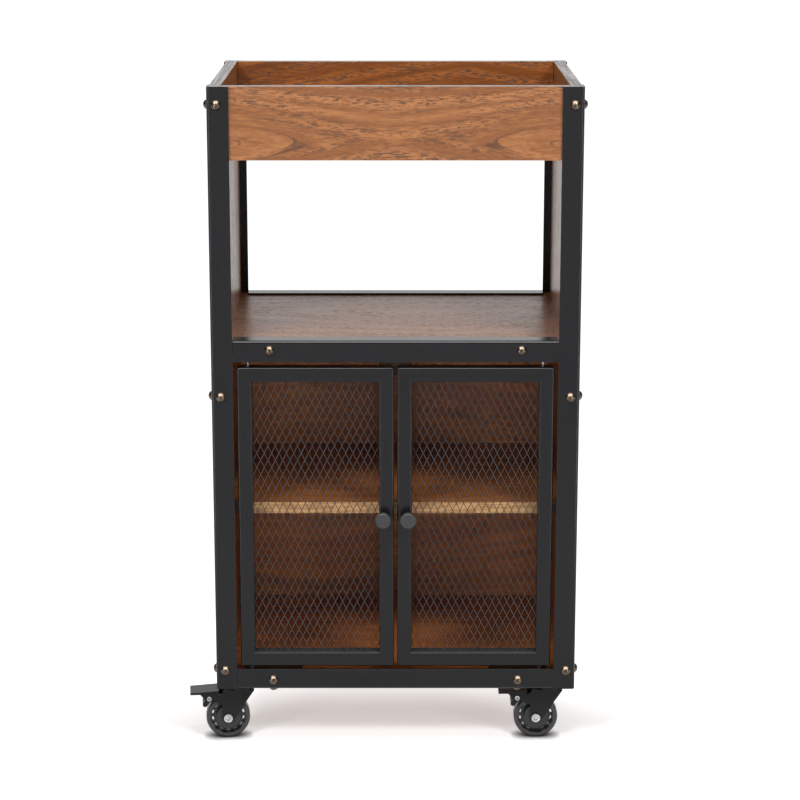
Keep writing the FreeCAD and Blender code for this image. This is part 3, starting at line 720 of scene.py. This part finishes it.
def knuckle(bm, across, up, tilt):
    """One crossing of the expanded metal: a tilted diamond and the four half strands round it."""
    right = bm.verts.new((knuckle_half_across, tilt, 0.0))
    top = bm.verts.new((0.0, 0.0, knuckle_half_up))
    left = bm.verts.new((-knuckle_half_across, -tilt, 0.0))
    bottom = bm.verts.new((0.0, 0.0, -knuckle_half_up))
    bm.faces.new((right, top, left, bottom))
    for side, level in ((1, 1), (-1, 1), (-1, -1), (1, -1)):
        tip = top if level > 0 else bottom
        flank = right if side > 0 else left
        far_flank = Vector((side * (across - knuckle_half_across), -side * tilt, level * up))
        far_tip = Vector((side * across, 0.0, level * (up - knuckle_half_up)))
        edge = bm.edges.get((tip, flank))
        drawn = bmesh.ops.extrude_edge_only(bm, edges=[edge])["geom"]
        for end in vertices_of(drawn):
            from_tip = (end.co - tip.co).length < same_point
            end.co = (tip.co + far_flank) / 2 if from_tip else (flank.co + far_tip) / 2
    return list(bm.verts) + list(bm.edges) + list(bm.faces)


def trimmed(bm, low, high):
    """Cuts the lattice off just inside the door's tubes."""
    for axis in (0, 2):
        for limit, outward in ((low, -1), (high, 1)):
            normal = Vector((0, 0, 0))
            normal[axis] = outward
            geom = list(bm.verts) + list(bm.edges) + list(bm.faces)
            bmesh.ops.bisect_plane(bm, geom=geom, plane_co=limit, plane_no=normal, clear_outer=True)


def lattice(low, high, tilt):
    """Repeats the crossing over a door's opening, joins the strands and gives them their thickness."""
    columns = round((high.x - low.x) / mesh_pitch_across)
    rows = round((high.z - low.z) / mesh_pitch_up)
    across = (high.x - low.x) / columns / 2
    up = (high.z - low.z) / rows / 2
    middle = (low.y + high.y) / 2
    bm = bmesh.new()
    unit = knuckle(bm, across, up, tilt)
    for i in range(2 * columns + 1):
        for j in range(2 * rows + 1):
            if (i + j) % 2:
                copy = bmesh.ops.duplicate(bm, geom=unit)["geom"]
                place = Vector((low.x + i * across, middle, low.z + j * up))
                bmesh.ops.translate(bm, verts=vertices_of(copy), vec=place)
    bmesh.ops.delete(bm, geom=vertices_of(unit), context="VERTS")
    bmesh.ops.remove_doubles(bm, verts=bm.verts, dist=same_point)
    bite = Vector((mesh_weld_bite, 0.0, mesh_weld_bite))
    trimmed(bm, low - bite, high + bite)
    bmesh.ops.recalc_face_normals(bm, faces=bm.faces)
    bmesh.ops.solidify(bm, geom=list(bm.faces), thickness=strand_thick)
    bmesh.ops.recalc_face_normals(bm, faces=bm.faces)
    return bm


def expanded_metal(side, tilt, finish):
    """Raised diamond mesh of one door, in place of its flat solid."""
    node = "door_mesh_" + side
    low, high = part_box(node)
    piece = new_piece(node + "_strands", lattice(low, high, tilt))
    set_finish(piece, finish)
    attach(piece, "door_" + side)
    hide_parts(node)


def background(graph, strength):
    return graph.add("Background", {"Color": white, "Strength": strength}).outputs[0]


def mirrored_room(graph):
    """What gloss sees of the room: a white card behind, a brighter one overhead, and dim walls."""
    x, y, z = graph.parts(graph.add("TexCoord").outputs["Generated"])
    side = graph.math("ABSOLUTE", x)
    aside = graph.span(side, *card_side_shares, 1.0, 0.0)
    behind = graph.math("MULTIPLY", graph.span(y, *card_back_shares), aside)
    risen = graph.span(z, *overhead_rise_shares)
    forward = graph.span(y, *overhead_back_shares, 1.0, 0.0)
    level = graph.span(side, *overhead_side_shares, overhead_glow, 0.0)
    above = graph.math("MULTIPLY", risen, graph.math("MULTIPLY", forward, level))
    return graph.math("MAXIMUM", graph.math("MAXIMUM", behind, above), room_dark_share)


def studio_world():
    """White where it is seen, cards where it is mirrored, and an even fill for the rest."""
    world = bpy.data.worlds.new("studio")
    bpy.context.scene.world = world
    world.use_nodes = True
    graph = Graph(world.node_tree)
    path = graph.add("LightPath").outputs
    fill = background(graph, room_fill)
    mirrored = background(graph, mirrored_room(graph))
    seen = background(graph, 1.0)
    unseen = graph.add("MixShader", {0: path["Is Glossy Ray"], 1: fill, 2: mirrored}).outputs[0]
    plain = graph.math("MAXIMUM", path["Is Camera Ray"], path["Is Transmission Ray"])
    whole = graph.add("MixShader", {0: plain, 1: unseen, 2: seen}).outputs[0]
    graph.feed(whole, world.node_tree.nodes["World Output"].inputs["Surface"])


def paper_shown(graph):
    """Where the floor glows: everywhere to the camera, and on the sheets of paper to gloss."""
    path = graph.add("LightPath").outputs
    plain = graph.math("MAXIMUM", path["Is Camera Ray"], path["Is Transmission Ray"])
    depth = graph.parts(graph.object_place())[1]
    behind = graph.span(depth, paper_front, paper_front + paper_fade)
    far_front = graph.span(depth, far_paper_end, far_paper_start, far_paper_share, 0.0)
    mirrored = graph.math("MULTIPLY", path["Is Glossy Ray"], graph.math("ADD", behind, far_front))
    return graph.math("MAXIMUM", plain, mirrored)


def floor_paper():
    """Pale paper that is white to the camera, apart from a painted shade under the cart, where its glow is
    dimmed, and painted contact shadows under the wheels.
    """
    material = bpy.data.materials.new("floor_paper")
    material.use_nodes = True
    tree = material.node_tree
    tree.nodes.remove(tree.nodes["Principled BSDF"])
    graph = Graph(tree)
    from_shade = graph.vector("SUBTRACT", graph.object_place(), shade_centre)
    shaped = graph.vector("MULTIPLY", from_shade, shade_shares)
    distance = graph.add("VectorMath", {0: shaped}, operation="LENGTH").outputs["Value"]
    # Painted shade: the glow falls to a share of itself inside the ellipse under the cart
    painted_shade_glow = graph.span(distance, shade_near, shade_far, shade_glow_share, 1.0)
    # Painted contact shadow: occlusion darkens both the glow and the colour of the floor
    contact = graph.add("AmbientOcclusion", {"Distance": contact_shadow_reach}, samples=contact_shadow_samples)
    outside_contact_shadow = graph.math("POWER", contact.outputs["AO"], contact_shadow_power)
    strength = graph.math("MULTIPLY", paper_shown(graph), graph.math("MULTIPLY", painted_shade_glow, outside_contact_shadow))
    glow = graph.add("Emission", {"Strength": strength}).outputs[0]
    colour = graph.mix(outside_contact_shadow, contact_shadow_colour, floor_colour)
    paper = graph.add("BsdfDiffuse", {"Color": colour}).outputs[0]
    both = graph.add("AddShader", {0: paper, 1: glow}).outputs[0]
    graph.feed(both, tree.nodes["Material Output"].inputs["Surface"])
    return material


def studio_floor():
    bm = bmesh.new()
    bmesh.ops.create_grid(bm, x_segments=1, y_segments=1, size=floor_size / 2)
    floor = new_piece("studio_floor", bm)
    set_finish(floor, floor_paper())


def soft_lamp(name, watts, size, place, aim):
    """A square or oblong soft box that shines towards a point."""
    data = bpy.data.lights.new(name, "AREA")
    data.energy = watts
    data.shape = "RECTANGLE"
    data.size, data.size_y = size
    lamp = bpy.data.objects.new(name, data)
    lamp.location = place
    lamp.rotation_euler = (Vector(aim) - Vector(place)).to_track_quat("-Z", "Y").to_euler()
    bpy.context.scene.collection.objects.link(lamp)
    return lamp


def studio_lamps():
    """A steep top light, a key and an upright strip at each side, and a front fill that isn't mirrored."""
    soft_lamp("top", top_watts, top_size, top_place, lamp_aim)
    for side, sign in (("left", -1), ("right", 1)):
        x, y, z = key_place
        soft_lamp("key_" + side, key_watts, key_size, (sign * x, y, z), lamp_aim)
        x, y, z = strip_place
        soft_lamp("strip_" + side, strip_watts, strip_size, (sign * x, y, z), (0.0, 0.0, z))
    front = soft_lamp("front", front_watts, front_size, front_place, lamp_aim)
    front.visible_glossy = False


def studio_camera():
    data = bpy.data.cameras.new("camera")
    data.sensor_width = camera_sensor
    data.lens = camera_lens
    data.shift_x = camera_shift
    camera = bpy.data.objects.new("camera", data)
    camera.location = camera_place
    camera.rotation_euler = (math.radians(camera_pitch_deg), 0.0, 0.0)
    bpy.context.scene.collection.objects.link(camera)
    bpy.context.scene.camera = camera


def build_scene():
    slots = slot_finishes()
    finish_nodes(board_finishes(), slots)
    expanded_metal("left", strand_tilt, slots["mesh_steel"])
    expanded_metal("right", -strand_tilt, slots["mesh_steel"])
    studio_world()
    studio_floor()
    studio_lamps()
    studio_camera()
    bpy.context.scene.view_settings.view_transform = "Standard"


build_scene()
